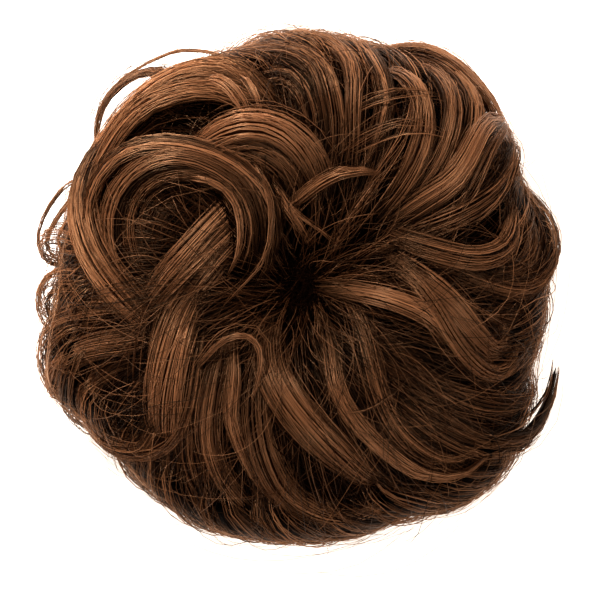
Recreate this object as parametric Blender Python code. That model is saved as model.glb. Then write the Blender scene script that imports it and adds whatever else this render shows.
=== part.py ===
"""A top knot hairpiece: an elastic loop, the weft sewn round it, and a bun of curled locks of false hair.

Millimetres in the tables, metres in the scene, +Z up. The piece lies on its underside, as on a table.
The elastic loop is round the Z axis, and +Y is the top of the bun as it is worn and seen from above.
"""

from math import atan2, cos, hypot, pi, radians, sin
from typing import NamedTuple

import bmesh
import bpy
from mathutils import Vector

MM = 0.001
SHARP_DEGREES = 50

# The elastic cord, at rest
LOOP_RADIUS = 21.0
CORD_RADIUS = 2.4
CORD_HEIGHT = 4.4
LOOP_SEGMENTS = 32
CORD_SIDES = 8

# The weft, a woven strip folded round the cord, open to the inside of the loop
WEFT_LINING = 2.9
WEFT_COVER = 4.2
WEFT_FOOT = 2.6
WEFT_LIPS = (150, 215)

# The bun: a ring round the passage, with its reach at even steps of angle from +X towards +Y
PASSAGE_RADIUS = 9.2
CORE_RADIUS = 42.0
CORE_HEIGHT = 25.0
BUN_RIM = (77, 75, 80, 78, 78, 74, 75, 75, 77, 81, 77, 79, 78, 77, 85, 80)
TOUCH_GAP = 0.3

# The packed root hair: (radius, z) up the passage and over the crown, (mm in from the rim, z) down the side
PAD_SEGMENTS = 32
PAD_THROAT = 17.5
PAD_CROWN = ((11.5, 17), (10.5, 27), (15, 38), (28, 44), (42, 46), (56, 43))
PAD_SIDE = ((13, 34), (9, 22), (14, 10), (26, 3))
PAD_FOOT_RADIUS = 40.0
PAD_FOOT_HEIGHT = 1.5

HAIR_BROWN = (0.085, 0.030, 0.012, 1)
BAND_BLACK = (0.012, 0.010, 0.010, 1)
WEFT_DARK = (0.030, 0.014, 0.008, 1)


class Lock(NamedTuple):
    """One curl: its width, its thickness, and the (x, y, z) that its middle runs through, root first."""

    name: str
    width: float
    thick: float
    path: tuple


# A lock is gathered at its root, full in the middle and drawn to a point at its tip
ROOT_GIRTH = 0.6
TIP_GIRTH = 0.2
ROOT_TAPER = 0.2
TIP_TAPER = 0.3
LOCK_STEP = 9.5
LOCK_SIDES = 6

# Clockwise from the top of the bun, as seen from above
LOCKS = (
    Lock("crest_outer", 10, 6, (
        (14, 30, 46), (17, 50, 50), (15, 66, 42), (3, 74, 31), (-11, 72, 24), (-33, 59, 12),
    )),
    Lock("crest_inner", 9, 6, (
        (10, 33, 42), (12, 50, 47), (9, 62, 43), (0, 67, 38), (-9, 64, 36), (-15, 47, 40),
    )),
    Lock("crest_core", 9, 5, (
        (1, 32, 38), (3, 47, 42), (0, 56, 41), (-6, 53, 38), (-9, 45, 38),
    )),
    Lock("crest_right", 8, 5, (
        (16, 26, 44), (23, 38, 48), (27, 50, 48), (25, 61, 43), (20, 70, 32), (14, 71, 20),
    )),
    Lock("upper_right_outer", 10, 6, (
        (24, 21, 44), (40, 29, 50), (52, 42, 46), (56, 55, 36), (46, 67, 28), (31, 71, 24),
    )),
    Lock("upper_right_mid", 8, 5, (
        (22, 23, 46), (33, 34, 52), (37, 45, 53), (36, 56, 48), (30, 63, 40), (25, 61, 34),
    )),
    Lock("upper_right_fill", 9, 5, (
        (26, 20, 45), (39, 31, 49), (45, 44, 49), (44, 57, 42), (36, 65, 33),
    )),
    Lock("shoulder_top", 9, 5, (
        (26, 17, 45), (38, 23, 51), (49, 32, 51), (58, 43, 44), (64, 42, 34), (65, 29, 25),
    )),
    Lock("shoulder_low", 8, 5, (
        (25, 14, 43), (39, 19, 48), (53, 25, 47), (61, 34, 40), (65, 32, 31),
    )),
    Lock("right_outer", 9, 6, (
        (27, 12, 44), (54, -1, 46), (66, -3, 41), (74, 2, 34), (75, 14, 29), (63, 30, 22),
    )),
    Lock("right_inner", 9, 5, (
        (28, 16, 47), (39, 11, 52), (51, 7, 51), (60, 10, 46), (64, 18, 40), (63, 27, 34),
    )),
    Lock("right_core", 9, 5, (
        (45, 8, 44), (60, 1, 42), (69, 6, 36), (71, 17, 31), (66, 24, 28),
    )),
    Lock("blade", 7, 4, (
        (16, -1, 41), (21, -3, 46), (30, -5, 51), (40, -10, 52), (46, -18, 48),
    )),
    Lock("hook_curl", 10, 5, (
        (22, 10, 43), (36, -5, 50), (43, -15, 50), (51, -23, 46), (61, -26, 40), (65, -19, 38),
        (54, -9, 38),
    )),
    Lock("right_low_outer", 9, 5, (
        (31, 7, 40), (45, -2, 42), (60, -8, 40), (70, -11, 33), (72, -20, 27), (69, -30, 22),
    )),
    Lock("right_low_fill", 9, 5, (
        (30, -4, 42), (42, -18, 42), (57, -27, 38), (69, -27, 30), (71, -19, 25),
    )),
    Lock("flick", 8, 5, (
        (14, -10, 38), (33, -35, 45), (51, -43, 39), (66, -43, 32), (74, -36, 28), (76, -24, 29),
    )),
    Lock("flick_upper", 8, 4, (
        (19, -6, 43), (29, -19, 47), (39, -29, 47), (53, -35, 43), (65, -35, 36), (71, -31, 31),
    )),
    Lock("crescent", 7, 5, (
        (10, -15, 40), (11, -30, 48), (18, -43, 49), (29, -53, 46), (40, -56, 43), (51, -54, 41),
        (57, -48, 40),
    )),
    Lock("low_right_outer", 12, 6, (
        (15, -34, 42), (19, -54, 38), (30, -66, 29), (45, -69, 24), (59, -62, 23), (66, -46, 28),
    )),
    Lock("low_right_fill", 12, 6, (
        (20, -25, 42), (30, -43, 42), (45, -55, 36), (57, -55, 30), (61, -45, 30),
    )),
    Lock("low_right_mid", 9, 5, (
        (22, -13, 43), (30, -28, 46), (42, -40, 43), (56, -45, 37), (63, -40, 33),
    )),
    Lock("low_mid_band", 11, 6, (
        (-6, -16, 41), (-7, -23, 46), (-3, -34, 51), (6, -45, 51), (15, -54, 46), (24, -59, 40),
    )),
    Lock("bottom_u", 10, 6, (
        (-11, -19, 44), (-15, -34, 50), (-12, -49, 49), (-3, -61, 42), (11, -66, 36), (24, -63, 34),
        (32, -55, 36),
    )),
    Lock("bottom_outer", 11, 6, (
        (-18, -22, 45), (-25, -40, 49), (-22, -58, 43), (-11, -70, 33), (4, -75, 27), (27, -68, 24),
    )),
    Lock("bottom_left_long", 10, 6, (
        (-22, -18, 45), (-28, -30, 50), (-28, -43, 48), (-23, -58, 39), (-13, -68, 28), (0, -73, 20),
    )),
    Lock("bottom_left_outer", 10, 6, (
        (-26, -21, 42), (-33, -34, 45), (-36, -50, 40), (-33, -63, 30), (-22, -72, 22), (-6, -75, 17),
    )),
    Lock("waterfall", 12, 5, (
        (-30, -4, 46), (-38, -12, 50), (-41, -23, 51), (-39, -35, 48), (-36, -46, 42), (-31, -55, 34),
    )),
    Lock("left_low_sweep", 8, 5, (
        (-25, -10, 47), (-33, -34, 51), (-39, -46, 44), (-50, -49, 37), (-60, -44, 31), (-62, -36, 28),
    )),
    Lock("left_low_cross", 8, 5, (
        (-36, -12, 46), (-48, -16, 46), (-60, -18, 41), (-70, -23, 34), (-73, -31, 27), (-60, -34, 22),
    )),
    Lock("left_outline_low", 9, 5, (
        (-51, -7, 43), (-63, -8, 38), (-73, -12, 31), (-76, -22, 25), (-71, -32, 21), (-62, -38, 18),
    )),
    Lock("left_ring", 7, 4, (
        (-42, -20, 44), (-52, -22, 41), (-61, -29, 36), (-58, -39, 33), (-47, -43, 36), (-40, -36, 40),
    )),
    Lock("left_lobe", 8, 4, (
        (-52, -1, 41), (-64, 3, 37), (-74, 1, 31), (-76, -7, 27), (-63, -10, 22),
    )),
    Lock("left_hook", 7, 4, (
        (-54, 10, 41), (-66, 15, 36), (-74, 16, 31), (-76, 11, 27), (-63, 7, 22),
    )),
    Lock("left_fall", 9, 5, (
        (-66, 28, 35), (-62, 14, 42), (-55, -1, 46), (-50, -13, 46), (-46, -21, 42),
    )),
    Lock("crown_outer", 10, 6, (
        (-2, 41, 44), (-18, 62, 45), (-31, 65, 40), (-45, 59, 39), (-57, 46, 37), (-65, 30, 34),
        (-67, 21, 30),
    )),
    Lock("crown_second", 10, 5, (
        (0, 36, 44), (-9, 49, 49), (-22, 57, 49), (-36, 56, 48), (-49, 49, 46), (-61, 27, 40),
    )),
    Lock("ridge", 9, 6, (
        (8, 29, 45), (3, 39, 52), (-6, 46, 56), (-16, 48, 57), (-26, 44, 54), (-33, 39, 49),
    )),
    Lock("under_ridge", 11, 5, (
        (2, 24, 42), (-4, 33, 49), (-15, 39, 52), (-26, 40, 51), (-37, 41, 49),
    )),
    Lock("swirl_outer", 9, 5, (
        (-16, 3, 40), (-9, 14, 46), (-11, 28, 52), (-36, 38, 55), (-50, 35, 52), (-58, 24, 48),
        (-58, 12, 47), (-41, -2, 45),
    )),
    Lock("swirl_inner", 8, 5, (
        (-18, 5, 44), (-17, 18, 50), (-22, 27, 53), (-33, 31, 53), (-42, 27, 52), (-45, 18, 50),
        (-32, 6, 47),
    )),
    Lock("swirl_diagonal", 10, 5, (
        (-13, 21, 42), (-22, 14, 47), (-33, 4, 50), (-42, -5, 50), (-50, -12, 46),
    )),
    Lock("brow", 5, 4, (
        (-2, 25, 44), (6, 31, 50), (16, 34, 53), (25, 33, 52), (31, 29, 49),
    )),
)

# The plain layers below the curls, each a ring of like locks: (mm in from the rim, z) down each lock
LAYER_STEP = 11.0
LAYER_SIDES = 5
SIDE_LOCKS = 16
SIDE_PATH = ((8, 40), (3, 31), (2, 21), (7, 11), (17, 4))
SIDE_SWEEP = 24
SIDE_SIZE = (15, 6)
UNDER_LOCKS = 14
UNDER_PATH = ((46, 6), (32, 4), (20, 4), (10, 8), (5, 18))
UNDER_SWEEP = -26
UNDER_SIZE = (13, 6)


def clear_scene():
    """Removes what the startup file holds."""
    for obj in list(bpy.data.objects):
        bpy.data.objects.remove(obj)


def material(name, colour, roughness):
    made = bpy.data.materials.new(name)
    made.use_nodes = True
    shader = made.node_tree.nodes["Principled BSDF"]
    shader.inputs["Base Color"].default_value = colour
    shader.inputs["Roughness"].default_value = roughness
    return made


def mesh_object(name, bm, surface):
    """A mesh object of what bm holds, in millimetres, turned to metres."""
    bmesh.ops.scale(bm, vec=(MM, MM, MM), verts=bm.verts)
    bmesh.ops.recalc_face_normals(bm, faces=bm.faces)
    mesh = bpy.data.meshes.new(name)
    bm.to_mesh(mesh)
    bm.free()
    mesh.materials.append(surface)
    mesh.shade_smooth()
    mesh.set_sharp_from_angle(angle=radians(SHARP_DEGREES))
    made = bpy.data.objects.new(name, mesh)
    bpy.context.scene.collection.objects.link(made)
    return made


def skin(bm, rings, closed_round):
    """Joins rings of as many points each with quads. The row of rings ends in two caps, or in its own start."""
    rows = [[bm.verts.new(point) for point in ring] for ring in rings]
    pairs = list(zip(rows, rows[1:]))
    if closed_round:
        pairs.append((rows[-1], rows[0]))
    else:
        bm.faces.new(reversed(rows[0]))
        bm.faces.new(rows[-1])
    for low, high in pairs:
        for i in range(len(low)):
            after = (i + 1) % len(low)
            bm.faces.new((low[i], low[after], high[after], high[i]))


def turned(name, profile_at, segments, surface):
    """A ring whose section at each angle is profile_at(angle), a list of (radius, z)."""
    bm = bmesh.new()
    rings = []
    for step in range(segments):
        angle = 2 * pi * step / segments
        rings.append([(r * cos(angle), r * sin(angle), z) for r, z in profile_at(angle)])
    skin(bm, rings, closed_round=True)
    return mesh_object(name, bm, surface)


def rim_radius(angle):
    """How far the bun reaches at this angle, between the even steps of BUN_RIM."""
    place = (angle % (2 * pi)) / (2 * pi) * len(BUN_RIM)
    step = int(place)
    low, high = BUN_RIM[step % len(BUN_RIM)], BUN_RIM[(step + 1) % len(BUN_RIM)]
    return low + (high - low) * (place - step)


def cord_section(angle):
    turns = [2 * pi * i / CORD_SIDES for i in range(CORD_SIDES)]
    return [(LOOP_RADIUS + CORD_RADIUS * cos(turn), CORD_HEIGHT + CORD_RADIUS * sin(turn)) for turn in turns]


def weft_section(angle):
    """The folded strip: its lining follows the cord and its cover has a flat foot at z 0."""
    first, last = WEFT_LIPS

    def at(reach, degrees):
        return LOOP_RADIUS + reach * cos(radians(degrees)), CORD_HEIGHT + reach * sin(radians(degrees))

    lining = [at(WEFT_LINING, degrees) for degrees in (last, 265, 315, 365, 415, 465, 360 + first)]
    cover = [at(WEFT_COVER, degrees) for degrees in (360 + first, 440, 395, 350)]
    foot = [(LOOP_RADIUS + WEFT_FOOT, 0), (LOOP_RADIUS - WEFT_FOOT, 0)]
    return lining + cover + foot


def pad_section(angle):
    """The packed root hair that the locks grow from, with a seat for the weft at its foot."""
    rim = rim_radius(angle)
    seat = LOOP_RADIUS + WEFT_COVER + TOUCH_GAP
    seat_top = CORD_HEIGHT + WEFT_COVER + TOUCH_GAP
    side = [(rim - inward, z) for inward, z in PAD_SIDE]
    foot = (PAD_FOOT_RADIUS, PAD_FOOT_HEIGHT)
    return [(seat, PAD_FOOT_HEIGHT), (seat, seat_top), (PAD_THROAT, seat_top), *PAD_CROWN, *side, foot]


def smooth_path(points, spacing):
    """Even steps, about spacing apart, along a smooth curve through the points."""
    ends = [points[0] * 2 - points[1], *points, points[-1] * 2 - points[-2]]
    fine = []
    for a, b, c, d in zip(ends, ends[1:], ends[2:], ends[3:]):
        for i in range(8):
            t = i / 8
            square = (2 * a - 5 * b + 4 * c - d) * t**2
            cube = (3 * b - a - 3 * c + d) * t**3
            fine.append(0.5 * (2 * b + (c - a) * t + square + cube))
    fine.append(points[-1])
    lengths = [0.0]
    for low, high in zip(fine, fine[1:]):
        lengths.append(lengths[-1] + (high - low).length)
    steps = max(5, round(lengths[-1] / spacing))
    path, at = [], 0
    for step in range(steps + 1):
        want = lengths[-1] * step / steps
        while at < len(fine) - 2 and lengths[at + 1] < want:
            at += 1
        share = (want - lengths[at]) / (lengths[at + 1] - lengths[at])
        path.append(fine[at].lerp(fine[at + 1], min(share, 1)))
    return path


def outward(point):
    """Away from the middle of the bun's ring, so that a lock lies flat on what is below it."""
    angle = atan2(point.y, point.x)
    core = Vector((CORE_RADIUS * cos(angle), CORE_RADIUS * sin(angle), CORE_HEIGHT))
    return (point - core).normalized()


def combed(point):
    """The point, kept clear of the passage through the loop and of the surface that the bun lies on."""
    reach = hypot(point.x, point.y)
    if reach < PASSAGE_RADIUS:
        point = Vector((point.x * PASSAGE_RADIUS / reach, point.y * PASSAGE_RADIUS / reach, point.z))
    point.z = max(point.z, 0.0)
    return point


def fullness(t):
    """A lock's girth at t of its length, as a share of its full width."""
    root = min(1.0, ROOT_GIRTH + (1 - ROOT_GIRTH) * t / ROOT_TAPER)
    tip = min(1.0, TIP_GIRTH + (1 - TIP_GIRTH) * (1 - t) / TIP_TAPER)
    return root * tip


def lock_object(lock, spacing, sides, surface):
    """A flattened tube along the lock's path."""
    middle = smooth_path([Vector(point) for point in lock.path], spacing)
    last = len(middle) - 1
    rings = []
    for i, point in enumerate(middle):
        along = (middle[min(i + 1, last)] - middle[max(i - 1, 0)]).normalized()
        side = along.cross(outward(point)).normalized()
        up = side.cross(along)
        across = side * (lock.width / 2 * fullness(i / last))
        through = up * (lock.thick / 2 * fullness(i / last))
        turns = [2 * pi * (k + 0.5) / sides for k in range(sides)]
        rings.append([combed(point + across * cos(turn) + through * sin(turn)) for turn in turns])
    bm = bmesh.new()
    skin(bm, rings, closed_round=False)
    return mesh_object(lock.name, bm, surface)


def ring_of_locks(name, count, profile, sweep, size, surface):
    """A plain layer of locks alike, each down the profile while it turns round the bun by sweep degrees."""
    made = []
    for n in range(count):
        start = 2 * pi * n / count
        path = []
        for i, (inward, z) in enumerate(profile):
            angle = start + radians(sweep) * i / (len(profile) - 1)
            reach = rim_radius(angle) - inward
            path.append((reach * cos(angle), reach * sin(angle), z))
        made.append(lock_object(Lock(f"{name}_{n:02d}", *size, path), LAYER_STEP, LAYER_SIDES, surface))
    return made


def fuse(base, others):
    """Unites the others with base, drops the pockets sealed inside, and removes the others."""
    helpers = bpy.data.collections.new("locks_to_fuse")
    for other in others:
        helpers.objects.link(other)
    union = base.modifiers.new("fuse", "BOOLEAN")
    union.operation = "UNION"
    union.solver = "EXACT"
    union.operand_type = "COLLECTION"
    union.collection = helpers
    graph = bpy.context.evaluated_depsgraph_get()
    mesh = bpy.data.meshes.new_from_object(base.evaluated_get(graph))
    base.modifiers.clear()
    base.data = mesh
    for other in others:
        bpy.data.objects.remove(other)
    bpy.data.collections.remove(helpers)
    keep_outer_skin(mesh)


def keep_outer_skin(mesh):
    """Drops points that lie midway on one edge, and leaves only the largest of the mesh's closed skins."""
    bm = bmesh.new()
    bm.from_mesh(mesh)
    midway = [vert for vert in bm.verts if len(vert.link_edges) == 2]
    bmesh.ops.dissolve_verts(bm, verts=midway)
    bmesh.ops.triangulate(bm, faces=bm.faces)
    unseen = set(bm.faces)
    skins = []
    while unseen:
        reached = {unseen.pop()}
        front = list(reached)
        while front:
            face = front.pop()
            for edge in face.edges:
                for near in edge.link_faces:
                    if near in unseen:
                        unseen.discard(near)
                        reached.add(near)
                        front.append(near)
        skins.append(reached)
    largest = max(skins, key=len)
    inner = [face for found in skins if found is not largest for face in found]
    bmesh.ops.delete(bm, geom=inner, context="FACES")
    bm.to_mesh(mesh)
    bm.free()


def build():
    clear_scene()
    band_black = material("band_black", BAND_BLACK, 0.75)
    weft_dark = material("weft_dark", WEFT_DARK, 0.8)
    hair_brown = material("hair_brown", HAIR_BROWN, 0.4)

    turned("elastic_band", cord_section, LOOP_SEGMENTS, band_black)
    turned("weft_band", weft_section, LOOP_SEGMENTS, weft_dark)

    hair = turned("hair_locks", pad_section, PAD_SEGMENTS, hair_brown)
    locks = [lock_object(lock, LOCK_STEP, LOCK_SIDES, hair_brown) for lock in LOCKS]
    locks += ring_of_locks("side", SIDE_LOCKS, SIDE_PATH, SIDE_SWEEP, SIDE_SIZE, hair_brown)
    locks += ring_of_locks("under", UNDER_LOCKS, UNDER_PATH, UNDER_SWEEP, UNDER_SIZE, hair_brown)
    fuse(hair, locks)


build()
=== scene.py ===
# %% [markdown]
# # A top knot hairpiece, strand by strand
#
# The real piece is an elastic loop with a weft of curled false hair sewn round it. The solids give its
# size and its main curls. This script lays thousands of strands over them, in the same places, and gives
# each part its finish. First it loads the solids.

# %% Load the solids
from math import pi, radians

import bmesh
import bpy
import numpy as np
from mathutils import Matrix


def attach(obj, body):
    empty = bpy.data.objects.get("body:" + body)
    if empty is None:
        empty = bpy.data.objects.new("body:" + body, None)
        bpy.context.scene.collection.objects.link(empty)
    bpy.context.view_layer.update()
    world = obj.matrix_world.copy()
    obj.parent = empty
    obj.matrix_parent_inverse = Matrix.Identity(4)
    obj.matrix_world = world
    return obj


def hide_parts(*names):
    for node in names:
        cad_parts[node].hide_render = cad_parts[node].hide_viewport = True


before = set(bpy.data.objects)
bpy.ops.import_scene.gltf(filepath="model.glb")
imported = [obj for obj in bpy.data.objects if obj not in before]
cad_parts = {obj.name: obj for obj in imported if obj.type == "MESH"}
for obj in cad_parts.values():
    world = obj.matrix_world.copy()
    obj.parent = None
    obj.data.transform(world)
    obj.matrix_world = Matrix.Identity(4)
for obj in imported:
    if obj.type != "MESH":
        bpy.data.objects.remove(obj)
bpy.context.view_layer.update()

MM = 0.001
SEED = 20261126
rng = np.random.default_rng(SEED)
print("solids:", sorted(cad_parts))

# %% [markdown]
# ## The locks
#
# A hairdresser sees a bun as locks, not as strands. Each row here is one lock of the photograph: its
# width and thickness, how fair it is from 0 to 1, and the points that its middle runs through, from the
# root outwards. How fair a lock is mixes its own tone with painted light and shade: locks that catch the
# light are given fairer, and the locks at the lower right darker. The points are in millimetres, as they
# are on the solids.

# %% The table of locks
# The fourth column is each lock's own tone with painted light and shade in it.
LOCKS = (
    ("crest_outer", 5, 5, 0.76, ((15, 30, 45), (16, 40, 49), (16, 52, 50), (16, 63, 46), (12, 70, 38),
        (4, 74, 30), (-9, 73, 23), (-22, 67, 16))),
    ("crest_mid", 8, 6, 0.48, ((10, 31, 44), (11, 44, 48), (9, 56, 49), (5, 65, 44), (-4, 69, 38),
        (-16, 68, 30), (-30, 61, 20))),
    ("crest_inner", 8, 6, 0.36, ((5, 33, 42), (6, 46, 46), (3, 56, 46), (-3, 62, 42), (-11, 60, 38),
        (-16, 51, 39))),
    ("crest_core", 8, 5, 0.16, ((0, 33, 38), (0, 46, 42), (-3, 54, 41), (-8, 52, 38), (-10, 45, 38))),
    ("crest_right", 5, 5, 0.54, ((17, 29, 44), (21, 38, 48), (25, 48, 50), (26, 57, 48), (23, 65, 42),
        (18, 71, 32), (11, 72, 22))),
    ("upper_right_rim", 7, 5, 0.90, ((24, 69, 24), (35, 71, 25), (44, 68, 27), (51, 62, 28), (57, 55, 28),
        (61, 47, 27))),
    ("upper_right_outer", 7, 6, 0.62, ((26, 17, 42), (37, 24, 46), (47, 34, 47), (51, 45, 44), (51, 55, 38),
        (43, 64, 30), (30, 70, 24))),
    ("upper_right_mid", 6, 5, 0.76, ((23, 19, 44), (30, 28, 50), (35, 38, 53), (37, 48, 53), (35, 57, 49),
        (30, 62, 42), (24, 63, 35))),
    ("upper_right_fill", 6, 5, 0.60, ((24, 17, 43), (33, 25, 48), (40, 34, 50), (44, 44, 50), (45, 53, 46),
        (42, 61, 39), (35, 66, 31))),
    ("shoulder_top", 8, 5, 0.86, ((26, 18, 45), (36, 25, 50), (45, 31, 52), (50, 39, 50), (54, 46, 44),
        (59, 48, 37), (63, 42, 29))),
    ("shoulder_low", 7, 5, 0.60, ((25, 15, 43), (38, 18, 48), (49, 23, 49), (57, 29, 44), (62, 37, 37),
        (63, 44, 29))),
    ("right_outer", 7, 6, 0.56, ((26, 13, 42), (38, 9, 46), (50, 3, 46), (62, -1, 42), (70, 1, 38),
        (75, 10, 32), (74, 19, 28), (68, 27, 24), (61, 31, 21))),
    ("right_inner", 7, 5, 0.68, ((26, 17, 46), (34, 13, 49), (42, 10, 51), (52, 8, 50), (60, 11, 45),
        (63, 18, 40), (62, 27, 34))),
    ("right_core", 7, 5, 0.40, ((52, 4, 43), (61, 4, 42), (68, 8, 37), (69, 16, 33), (65, 23, 29))),
    ("blade", 6, 4, 1.00, ((6, 0, 41), (14, -1, 45), (24, -3, 50), (33, -6, 52), (40, -10, 51),
        (45, -17, 47))),
    ("hook_outer", 5, 4, 0.98, ((22, 13, 42), (30, 7, 47), (37, -1, 51), (42, -9, 52), (46, -16, 50),
        (52, -23, 46), (58, -26, 42), (63, -23, 38), (65, -16, 36), (61, -10, 34))),
    ("hook_inner", 8, 5, 0.62, ((24, 12, 43), (33, 5, 48), (40, 0, 50), (46, -6, 50), (52, -14, 47),
        (57, -19, 43), (61, -16, 40), (59, -10, 38))),
    ("right_low_outer", 8, 5, 0.38, ((31, 7, 40), (44, -2, 42), (57, -8, 40), (66, -11, 33), (68, -20, 27),
        (66, -30, 22))),
    ("right_low_fill", 9, 5, 0.36, ((30, -4, 42), (42, -18, 42), (56, -27, 38), (66, -26, 30),
        (68, -18, 25))),
    ("flick", 12, 5, 0.24, ((14, -10, 38), (33, -35, 45), (51, -46, 39), (66, -46, 32), (74, -37, 28),
        (77.5, -24, 30))),
    ("flick_upper", 7, 4, 0.34, ((19, -6, 43), (29, -19, 47), (39, -29, 47), (53, -35, 43), (65, -35, 36),
        (71, -31, 31))),
    ("crescent", 5, 4, 1.00, ((7, -6, 37), (9, -15, 42), (10, -23, 46), (11, -30, 49), (16, -39, 49),
        (24, -47, 47), (34, -54, 45), (43, -56, 43), (50, -55, 41), (56, -50, 40))),
    ("crescent_upper", 6, 4, 0.66, ((13, 1, 39), (18, -8, 44), (21, -18, 47), (23, -29, 49), (27, -39, 48),
        (33, -46, 45), (42, -51, 41), (52, -50, 38))),
    ("low_right_outer", 11, 6, 0.26, ((15, -34, 42), (19, -51, 38), (29, -62, 29), (42, -65, 24),
        (54, -59, 23), (61, -46, 28))),
    ("low_right_fill", 12, 6, 0.14, ((20, -25, 42), (30, -43, 42), (45, -55, 36), (57, -55, 30),
        (61, -45, 30))),
    ("low_right_mid", 9, 5, 0.22, ((22, -13, 43), (30, -28, 46), (42, -40, 43), (56, -45, 37),
        (63, -40, 33))),
    ("low_mid_band", 10, 6, 0.78, ((-7, -8, 38), (-9, -17, 43), (-8, -25, 48), (-3, -34, 51), (5, -43, 51),
        (14, -51, 46), (22, -57, 40))),
    ("bottom_u", 9, 6, 0.62, ((-12, -16, 41), (-13, -27, 47), (-13, -38, 50), (-10, -50, 49), (-3, -61, 42),
        (10, -67, 36), (22, -65, 34), (29, -58, 36), (28, -52, 37))),
    ("bottom_lit", 5, 5, 0.88, ((-20, -9, 42), (-20, -19, 47), (-19, -29, 51), (-20, -37, 51),
        (-17, -46, 48), (-12, -55, 43), (-3, -64, 36), (10, -71, 27))),
    ("bottom_outer", 8, 6, 0.28, ((-14, -44, 42), (-12, -57, 39), (-4, -68, 31), (8, -73, 26),
        (22, -71, 23), (34, -64, 22))),
    ("bottom_left_long", 7, 6, 0.80, ((-22, -10, 42), (-24, -20, 47), (-26, -30, 50), (-27, -39, 50),
        (-26, -48, 46), (-21, -58, 39), (-11, -67, 29), (2, -73, 20))),
    ("bottom_left_mid", 8, 6, 0.42, ((-27, -23, 43), (-32, -36, 46), (-32, -49, 43), (-27, -60, 35),
        (-16, -69, 26), (-2, -75, 19))),
    ("bottom_left_outer", 9, 6, 0.26, ((-29, -30, 41), (-37, -43, 42), (-38, -53, 37), (-33, -63, 29),
        (-22, -71, 22), (-6, -75, 16))),
    ("waterfall", 11, 5, 1.04, ((-29, 2, 43), (-34, -7, 48), (-37, -17, 51), (-39, -29, 50), (-39, -40, 44),
        (-37, -51, 35))),
    ("left_low_sweep", 4, 4, 0.74, ((-28, -9, 46), (-30, -22, 50), (-32, -36, 49), (-37, -46, 44),
        (-46, -50, 39), (-56, -48, 34), (-63, -41, 29))),
    ("left_low_fill", 8, 5, 0.50, ((-38, -38, 42), (-45, -47, 38), (-55, -46, 33), (-62, -39, 27))),
    ("left_low_cross", 7, 5, 0.74, ((-36, -12, 46), (-48, -16, 46), (-60, -18, 41), (-70, -23, 34),
        (-73, -31, 27), (-60, -34, 22))),
    ("left_outline_low", 9, 5, 0.70, ((-51, -7, 43), (-63, -8, 38), (-73, -12, 31), (-76, -22, 25),
        (-71, -32, 21), (-62, -38, 18))),
    ("left_ring", 6, 4, 0.48, ((-42, -20, 44), (-52, -22, 41), (-61, -29, 36), (-58, -39, 33),
        (-47, -43, 36), (-40, -36, 40))),
    ("left_lobe", 8, 4, 0.74, ((-52, -1, 41), (-64, 3, 37), (-74, 1, 31), (-76, -7, 27), (-63, -10, 22))),
    ("left_hook", 7, 4, 0.76, ((-54, 10, 41), (-66, 15, 36), (-74, 16, 31), (-76, 11, 27), (-63, 7, 22))),
    ("left_fall", 9, 5, 0.80, ((-56, 45, 37), (-62, 36, 38), (-65, 25, 40), (-63, 14, 43), (-58, 4, 45),
        (-51, -5, 45), (-43, -14, 42))),
    ("left_fall_inner", 6, 4, 0.68, ((-56, 39, 42), (-61, 28, 44), (-60, 16, 46), (-55, 6, 47),
        (-49, -2, 46), (-42, -10, 44))),
    ("crown_outer", 10, 6, 0.90, ((-2, 41, 44), (-17, 61.5, 45), (-31, 63.5, 40), (-44, 57, 39),
        (-55.5, 44.5, 37), (-64, 30, 34), (-67, 21, 30))),
    ("crown_second", 9, 5, 0.70, ((0, 37, 44), (-10, 51, 49), (-22, 58, 49), (-36, 57, 48), (-48, 51, 46),
        (-57, 39, 42), (-62, 27, 39))),
    ("ridge", 8, 6, 1.08, ((8, 28, 45), (3, 38, 52), (-5, 45, 56), (-14, 47, 57), (-22, 45, 55),
        (-30, 40, 50))),
    ("under_ridge", 9, 5, 0.56, ((3, 24, 42), (0, 33, 48), (-9, 40, 52), (-20, 42, 53), (-32, 41, 51))),
    ("swirl_outer", 6, 4, 0.60, ((-13, 0, 41), (-8, 11, 46), (-8, 23, 51), (-13, 32, 54), (-24, 39, 55),
        (-38, 42, 54), (-50, 40, 52), (-58, 33, 49), (-62, 23, 46), (-60, 12, 43))),
    ("swirl_mid", 7, 5, 0.68, ((-17, 2, 42), (-13, 11, 48), (-13, 20, 52), (-16, 29, 54), (-24, 35, 55),
        (-35, 38, 55), (-45, 35, 53), (-52, 28, 50), (-55, 19, 48), (-54, 9, 46), (-50, 0, 44),
        (-45, -8, 41))),
    ("swirl_inner", 5, 4, 0.72, ((-18, 6, 44), (-15.5, 15, 49), (-16.5, 24, 52), (-23, 31, 53),
        (-32, 33, 53), (-41, 31, 51), (-47, 25, 49), (-49, 16, 47), (-47, 7, 46), (-43, -1, 44),
        (-39, -8, 42))),
    ("swirl_diagonal", 10, 4, 0.78, ((-5, 35, 40), (-15, 27, 44), (-23, 19, 48), (-32, 9, 50), (-39, 1, 49),
        (-45, -7, 45))),
    ("swirl_diagonal_low", 8, 4, 0.50, ((-7, 25, 40), (-14, 19, 42), (-21, 11, 45), (-27, 3, 47),
        (-33, -5, 46), (-38, -12, 44))),
    ("swirl_bed", 11, 4, 0.46, ((-34, 30, 45), (-41, 25, 47), (-45, 16, 46), (-44, 7, 44), (-41, -3, 43),
        (-37, -12, 42))),
    ("brow", 4, 4, 0.84, ((-3, 24, 44), (4, 29, 50), (11, 33, 53), (18, 34, 53), (25, 33, 51))),
)
FREE_TIPS = {"flick", "brow", "crescent"}
AIRY = {"left_lobe", "left_hook", "left_outline_low"}
print("locks:", len(LOCKS))

# %% [markdown]
# The bun's own shape is a thick ring round the passage. Its reach differs with the angle, and its section
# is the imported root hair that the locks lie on. The reach is the same as on the solids, but for four
# dents: three behind curls that one can see through and one beside the flick. Each is given by its angle,
# its depth and how many degrees it spreads.

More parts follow.
